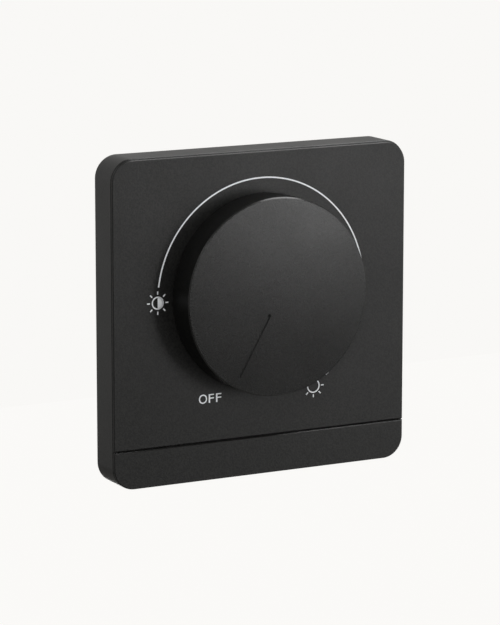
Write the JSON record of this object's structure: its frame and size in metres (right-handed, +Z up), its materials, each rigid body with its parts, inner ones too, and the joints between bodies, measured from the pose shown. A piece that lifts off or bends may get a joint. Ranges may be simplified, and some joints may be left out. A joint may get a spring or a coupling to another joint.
{
  "type": "rotary dimmer switch",
  "caption": "Rotary dimmer switch on a square wall plate, with a large round knob that turns from off to bright, a fascia that clips on and a rear housing with wire terminals.",
  "frame": {"origin": "midway between the two fixing slots, on the wall plane", "axes": "+X to the right as seen from the room, +Z up, +Y into the wall, so the knob faces -Y"},
  "size_m": [0.087, 0.0454, 0.087],
  "materials": {
    "charcoal_plastic": "fine matte moulded grain",
    "grey_moulding": "plain moulded",
    "pale_moulding": "plain moulded",
    "black_moulding": "plain moulded",
    "yellow_moulding": "plain moulded",
    "resistor_lacquer": "lacquered",
    "laminate": "lacquered laminate",
    "silicone_pad": "matte",
    "ferrite": "matte sintered",
    "enamelled_wire": "enamelled",
    "aluminium": "rolled sheet",
    "zinc_steel": "zinc plated",
    "brass": "turned",
    "fuse_glass": "clear"
  },
  "bodies": {
    "base": {"surround_frame": "charcoal_plastic", "front_plate": "charcoal_plastic", "lower_strip": "charcoal_plastic", "potentiometer_bushing": "brass", "bushing_washer": "zinc_steel", "bushing_nut": "zinc_steel", "potentiometer_case": "black_moulding", "potentiometer_wafer": "laminate", "off_switch": "black_moulding", "heat_sink": "aluminium", "carrier_plate": "grey_moulding", "rear_housing": "pale_moulding", "housing_screws": "zinc_steel", "circuit_board": "laminate", "triac": "black_moulding", "triac_pad": "silicone_pad", "triac_screw": "zinc_steel", "triac_nut": "zinc_steel", "terminal_pillars": "brass", "terminal_screws": "zinc_steel", "fuse_tube": "fuse_glass", "fuse_caps": "zinc_steel", "fuse_clips": "brass", "film_capacitor": "yellow_moulding", "choke_core": "ferrite", "choke_winding": "enamelled_wire", "timing_capacitor": "yellow_moulding", "resistors": "resistor_lacquer", "diac": "resistor_lacquer", "trimmer": "black_moulding"},
    "knob": {"control_knob": "charcoal_plastic", "knob_ring": "zinc_steel", "spindle": "brass", "retaining_ring": "zinc_steel", "potentiometer_rotor": "black_moulding", "potentiometer_wiper": "brass"}
  },
  "joints": [
    {"name": "knob_turn", "type": "hinge", "parent": "base", "child": "knob", "pos_m": [0, 0, 0.00585], "axis": [0, 1, 0], "range_deg": [0, 300]}
  ]
}
